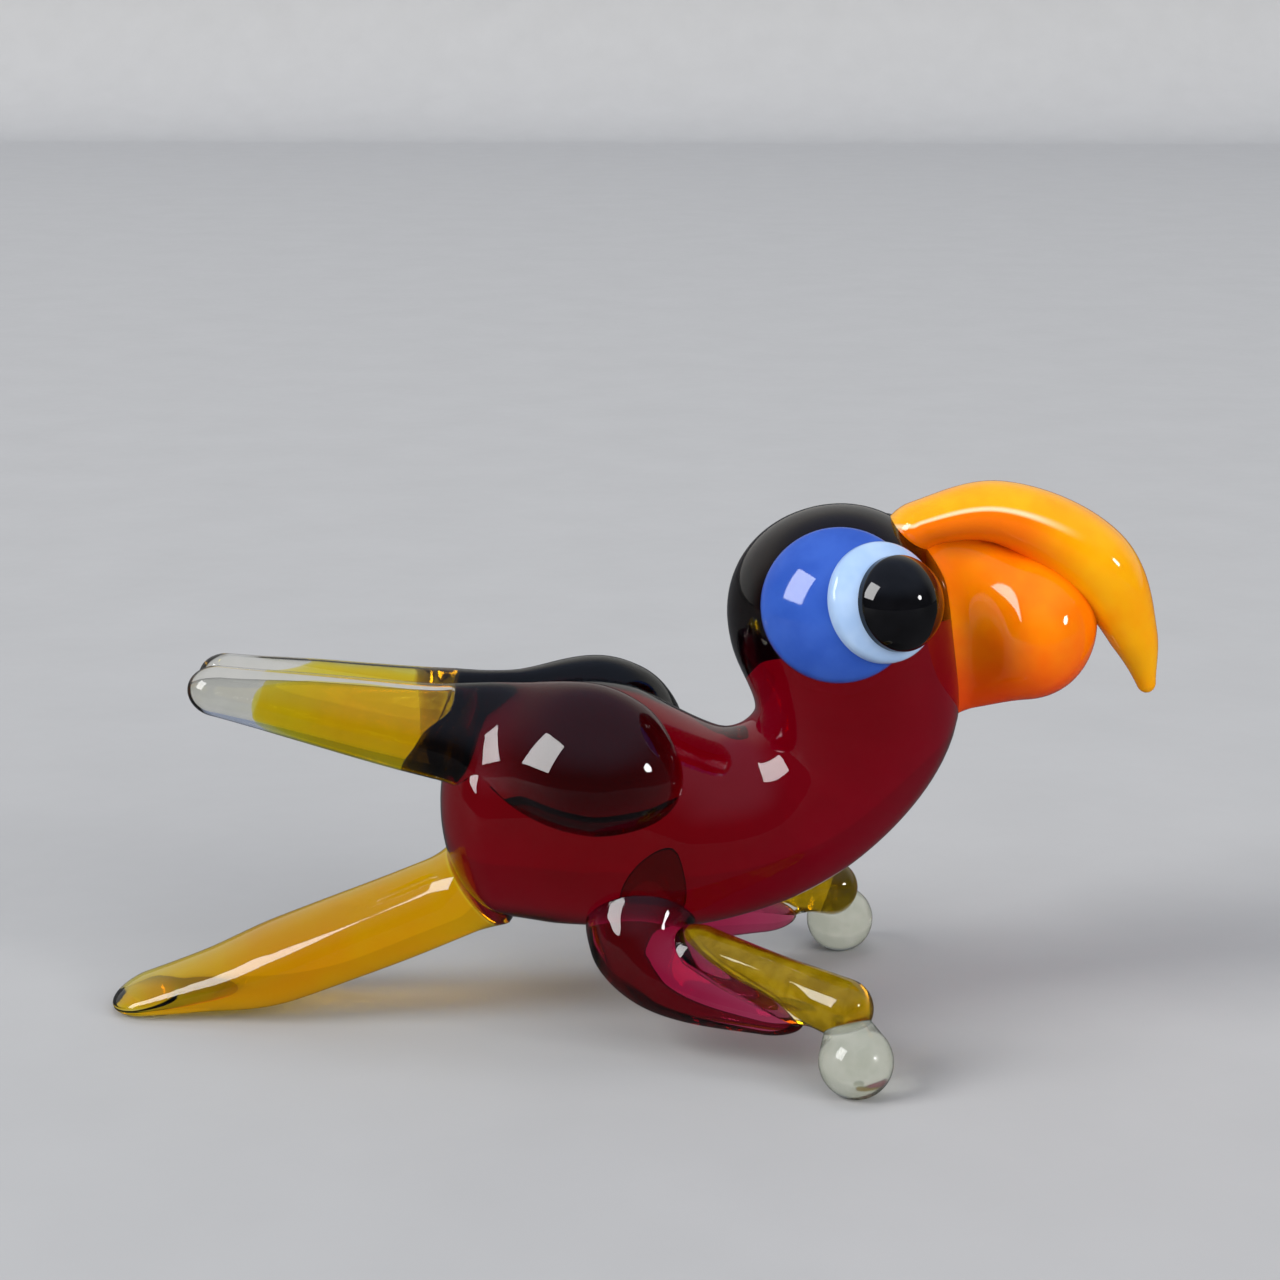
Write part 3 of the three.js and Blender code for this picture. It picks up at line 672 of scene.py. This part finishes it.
def foot_rod(hand, wall, clear_end, rings, sides):
    """The foot's casing, or its core at a wall's depth that stops short of the clear end."""
    toe = place(11.7, hand * 8.8, 1.46)
    end = toe + [0, -hand * 0.8, 1.85]
    root = place(4.1, hand * 4.2, AXIS_HEIGHT - 5.0)
    to_root = unit(root - end)
    free_end = end + to_root * (clear_end - 0.7)
    sizes = [1.15 - wall, 1.15 - wall, 1.35 - wall]
    spine = [root, root + (end - root) * 0.55, free_end]
    shape = rod(spine, sizes, sizes, start=sizes[0], end=sizes[2], rings=rings, sides=sides)
    return shape, toe, end, free_end, to_root


def make_leg(hand, side_name):
    casing, toe, end, free_end, to_root = foot_rod(hand, 0, 0, rings=70, sides=64)
    thigh_end = free_end + to_root * 3.2 - [0, 0, 1.5]
    thigh_root = place(1.6, hand * 2.4, AXIS_HEIGHT - 3.6)
    knee = place(3.2, hand * 4.4, AXIS_HEIGHT - 6.1)
    sizes = [2.6, 1.9, 0.8]
    thigh = rod([thigh_root, knee, thigh_end], sizes, sizes, start=2.6, end=1.6, rings=80, sides=64)
    thigh = wavy(thigh, amount=0.03, length=4.0, phase=0.5)
    thigh = melted(thigh, [body], reach=1.3, lift=0.45)
    finish_node(side_name + "_thigh", cut_mesh(thigh, [body_inside]), ruby)
    casing = wavy(casing, amount=0.03, length=3.0, phase=1.1)
    casing = melted(casing, [body, thigh], reach=0.9, lift=0.25)
    foot_mesh = cut_mesh(casing, [body_inside, thigh.moved(-OVERLAP)])
    finish_node(side_name + "_foot", foot_mesh, clear)
    bead = ball(toe, 1.6, toe - end, rings=48, sides=64)
    bead = melted(bead, [casing], reach=0.8, lift=0.25)
    bead_mesh = cut_mesh(bead, [casing.moved(-OVERLAP)])
    finish_piece(side_name + "_toe_bead_glass", bead_mesh, milky, None)
    core = foot_rod(hand, 0.4, 0.35, rings=60, sides=56)[0]
    core = wavy(core, amount=0.03, length=1.2, phase=0.7)
    core = wavy(core, amount=0.05, length=2.6, phase=2.1)
    core_mesh = cut_mesh(core, [body_outside, thigh.moved(CORE_GAP)])
    finish_node(side_name + "_foot_core", core_mesh, olive)


# Beak


def make_beak():
    lower_spine = [HEAD + [reach, 0, -0.2] for reach in (2.5, 5.3, 8.1, 11.2)]
    lower_heights = [3.95, 3.95, 3.35, 3.35]
    lower_widths = [1.35, 1.35, 3.05, 3.05]
    narrowing = 0.06
    lower = rod(lower_spine, lower_heights, lower_widths, start=1.35, end=3.05, rings=90, sides=96)
    lower.vertices[:, 1] *= 1 - narrowing * (lower.vertices[:, 2] - lower_spine[0][2])
    lower = wavy(lower, amount=0.02, length=5.0, phase=0.2)
    lower = melted(lower, [body], reach=0.7, lift=0.15)
    finish_node("lower_beak", cut_mesh(lower, [body_inside]), red_orange)
    upper_spine = [
        HEAD + [2.2, 0, 3.95],
        HEAD + [6.7, 0, 4.75],
        HEAD + [11.0, 0, 2.5],
        HEAD + [12.85, 0, -0.8],
        HEAD + [13.6, 0, -3.3],
    ]
    upper_heights = [0.9, 1.35, 1.7, 1.05, 0.35]
    upper_widths = [1.5, 1.85, 2.1, 1.35, 0.35]
    upper = rod(upper_spine, upper_heights, upper_widths, start=0.9, end=0.35, rings=120, sides=72)
    upper = melted(upper, [body], reach=0.8, lift=0.2)
    upper_mesh = cut_mesh(upper, [body_inside, lower.moved(-OVERLAP)])
    finish_node("upper_beak", upper_mesh, orange)
    return lower


# Eyes


def aim_on_head(hand, forward, up, distance):
    """A point at a distance from the head's centre, at angles in degrees from straight sideways."""
    forward = math.radians(forward)
    up = math.radians(up)
    level = math.cos(up)
    direction = np.array([math.sin(forward) * level, hand * math.cos(forward) * level, math.sin(up)])
    return HEAD + direction * distance


class Dot:
    """A dome melted onto a ball: spread is its radius and rise its height over the ball."""

    def __init__(self, centre, radius, aim, spread, rise, fillet):
        self.direction = unit(aim - centre)
        self.spread = spread
        self.fillet = fillet
        edge = math.sqrt((radius + SEAM_GAP) ** 2 - spread**2) + DOT_EDGE
        crown = radius + rise
        self.radius = (spread**2 + (crown - edge) ** 2) / (2 * (crown - edge))
        self.centre = centre + self.direction * (crown - self.radius)

    def shape(self, dome_rings=40, fillet_rings=14, sides=112):
        """The dome, rounded over into an upright side that goes down into the ball."""
        bend = self.spread - self.fillet
        level = math.sqrt((self.radius - self.fillet) ** 2 - bend**2)
        meeting = math.atan2(bend, level)
        profile = []
        for angle in np.linspace(0, meeting, dome_rings)[1:]:
            profile.append((self.radius * math.sin(angle), self.radius * math.cos(angle)))
        for angle in np.linspace(meeting, math.pi / 2, fillet_rings)[1:]:
            profile.append((bend + self.fillet * math.sin(angle), level + self.fillet * math.cos(angle)))
        profile.append((self.spread, level - DOT_DEPTH / 2))
        profile.append((self.spread, level - DOT_DEPTH))
        across = unit(np.cross(self.direction, [0.2, 0.1, 1.0]))
        upward = np.cross(self.direction, across)
        turn = 2 * np.pi * np.arange(sides) / sides
        circle = np.cos(turn)[:, None] * across + np.sin(turn)[:, None] * upward
        grid = [self.centre + height * self.direction + reach * circle for reach, height in profile]
        first = self.centre + self.radius * self.direction
        last = self.centre + (level - DOT_DEPTH) * self.direction
        return lathe_shape(first, np.array(grid), last)


def make_eye(hand, side_name, lower_beak):
    patch_aim = aim_on_head(hand, forward=-4, up=21, distance=5.65)
    white_aim = aim_on_head(hand, forward=21.5, up=20, distance=5.65)
    pupil_aim = aim_on_head(hand, forward=26, up=18, distance=6.2)
    patch_dot = Dot(HEAD, HEAD_RADIUS, patch_aim, spread=3.35, rise=0.65, fillet=0.6)
    white_dot = Dot(patch_dot.centre, patch_dot.radius, white_aim, spread=2.6, rise=0.55, fillet=0.45)
    pupil_dot = Dot(white_dot.centre, white_dot.radius, pupil_aim, spread=2.05, rise=1.2, fillet=0.4)
    patch = patch_dot.shape()
    eye_white = white_dot.shape()
    under = [body_inside, lower_beak.moved(-OVERLAP)]
    finish_node(side_name + "_eye_patch", cut_mesh(patch, under), blue)
    under.append(patch.moved(-OVERLAP))
    finish_node(side_name + "_eye_white", cut_mesh(eye_white, under), white)
    under.append(eye_white.moved(-OVERLAP))
    finish_node(side_name + "_pupil", cut_mesh(pupil_dot.shape(), under), black)


make_tail()
lower_beak_shape = make_beak()
for hand, side_name in ((RIGHT, "right"), (LEFT, "left")):
    make_wing(hand, side_name)
    make_leg(hand, side_name)
    make_eye(hand, side_name, lower_beak_shape)


# Studio: a pale floor with a rounded kerb at its back


def floor_paint():
    """Pale and matt. It shows plain pale through glass, without the shadow, and dim in reflections."""
    paint = Paint("floor_paint")
    rays = paint.node("ShaderNodeLightPath").outputs
    pale = paint.mixed(paint.noise(9.0), [0.45, 0.447, 0.44], [0.49, 0.487, 0.48])
    seen = paint.mixed(rays["Is Glossy Ray"], pale, [0.06, 0.06, 0.06])
    paint.link(seen, paint.shader.inputs["Base Color"])
    paint.polish(0.75, 0.85, size=1.6, bump=0.02)
    plain = paint.node("ShaderNodeEmission")
    plain.inputs["Color"].default_value = (0.55, 0.545, 0.535, 1)
    blend = paint.node("ShaderNodeMixShader")
    paint.link(rays["Is Transmission Ray"], blend.inputs[0])
    paint.link(paint.shader.outputs["BSDF"], blend.inputs[1])
    paint.link(plain.outputs["Emission"], blend.inputs[2])
    paint.link(blend.outputs["Shader"], paint.output.inputs["Surface"])
    paint.material.cycles.emission_sampling = "NONE"
    return paint.material


FLOOR_REACH = 4.0
FLOOR_DROP = 0.02 * MM
KERB_START = 0.7
KERB_RADIUS = 0.07
KERB_STEPS = 24
profile = [(-FLOOR_REACH, -FLOOR_DROP)]
for step in range(KERB_STEPS + 1):
    turn = math.pi / 2 * step / KERB_STEPS
    height = KERB_RADIUS * (1 - math.cos(turn)) - FLOOR_DROP
    profile.append((KERB_START + KERB_RADIUS * math.sin(turn), height))
floor_points = []
floor_faces = []
for row, (depth, height) in enumerate(profile):
    floor_points += [(-FLOOR_REACH, depth, height), (FLOOR_REACH, depth, height)]
    if row:
        floor_faces.append((2 * row - 2, 2 * row - 1, 2 * row + 1, 2 * row))
floor_mesh = bpy.data.meshes.new("floor")
floor_mesh.from_pydata(floor_points, [], floor_faces)
floor_mesh.shade_smooth()
floor = bpy.data.objects.new("floor", floor_mesh)
bpy.context.scene.collection.objects.link(floor)
floor_mesh.materials.append(floor_paint())

# Camera and lamps. Lamps are placed by their direction as the camera sees it.

AZIMUTH = math.radians(2)
ELEVATION = math.radians(14)
CAMERA_TARGET = np.array([0.736, 0, 17.573]) * MM
CAMERA_DISTANCE = 115 * MM
SENSOR_WIDTH = 36
FOCAL_PIXELS = 2600
PHOTO_PIXELS = 1280
LAMP_TARGET = np.array([0, 0, 12 * MM])
LAMP_DISTANCE = 3.0
MOST_BOUNCES = 24

camera_right = np.array([math.cos(AZIMUTH), math.sin(AZIMUTH), 0])
camera_back = np.array(
    [
        math.sin(AZIMUTH) * math.cos(ELEVATION),
        -math.cos(AZIMUTH) * math.cos(ELEVATION),
        math.sin(ELEVATION),
    ]
)
camera_up = np.cross(camera_back, camera_right)


def aimed(thing, position, target):
    thing.location = Vector(position)
    thing.rotation_euler = (Vector(target) - Vector(position)).to_track_quat("-Z", "Y").to_euler()


def make_lamp(name, shape, right, up, back, size, radiance):
    light = bpy.data.lights.new(name, "AREA")
    light.shape = shape
    light.size = size[0]
    light.size_y = size[1]
    area = size[0] * size[1] * (math.pi / 4 if shape == "DISK" else 1)
    light.energy = radiance * math.pi * area
    lamp = bpy.data.objects.new(name, light)
    bpy.context.scene.collection.objects.link(lamp)
    direction = unit(right * camera_right + up * camera_up + back * camera_back)
    aimed(lamp, LAMP_TARGET + LAMP_DISTANCE * direction, LAMP_TARGET)
    return lamp


make_lamp("window", "RECTANGLE", right=-0.76, up=0.45, back=0.48, size=(1.4, 1.7), radiance=10)
make_lamp("round_lamp", "DISK", right=0.84, up=0.22, back=0.5, size=(0.45, 0.45), radiance=25)
overhead = make_lamp("overhead", "RECTANGLE", right=0.0, up=1.0, back=0.1, size=(2.4, 1.0), radiance=2)
fill = make_lamp("fill", "RECTANGLE", right=0.55, up=0.25, back=0.8, size=(2.4, 2.4), radiance=3.2)
# Only the window and the round lamp show in the glass.
for plain_lamp in (overhead, fill):
    plain_lamp.visible_glossy = False
    plain_lamp.visible_transmission = False

# Sky: dark, with dim blue overhead and a pale wall low at the back. The camera sees it plain pale.
world = bpy.data.worlds.new("studio")
bpy.context.scene.world = world
world.use_nodes = True
sky = Nodes(world.node_tree)
way = sky.axes(sky.node("ShaderNodeTexCoord").outputs["Generated"])
dim_sky = sky.mixed(sky.ranged(way["Z"], 0.25, 0.85), [0.05, 0.05, 0.055], [0.24, 0.28, 0.38])
low_at_back = sky.multiplied(sky.ranged(way["Y"], 0.0, 0.5), sky.ranged(way["Z"], 0.85, 0.5))
walled_sky = sky.mixed(low_at_back, dim_sky, [0.46, 0.46, 0.45])
camera_rays = sky.node("ShaderNodeLightPath").outputs["Is Camera Ray"]
seen_sky = sky.mixed(camera_rays, walled_sky, [0.52, 0.52, 0.51])
sky.link(seen_sky, sky.tree.nodes["Background"].inputs["Color"])

camera_data = bpy.data.cameras.new("camera")
camera_data.sensor_width = SENSOR_WIDTH
camera_data.lens = SENSOR_WIDTH * FOCAL_PIXELS / PHOTO_PIXELS
camera_data.clip_start = 0.005
camera = bpy.data.objects.new("camera", camera_data)
bpy.context.scene.collection.objects.link(camera)
aimed(camera, CAMERA_TARGET + CAMERA_DISTANCE * camera_back, CAMERA_TARGET)
scene = bpy.context.scene
scene.camera = camera
scene.view_settings.view_transform = "Standard"
scene.cycles.max_bounces = MOST_BOUNCES
scene.cycles.transmission_bounces = MOST_BOUNCES
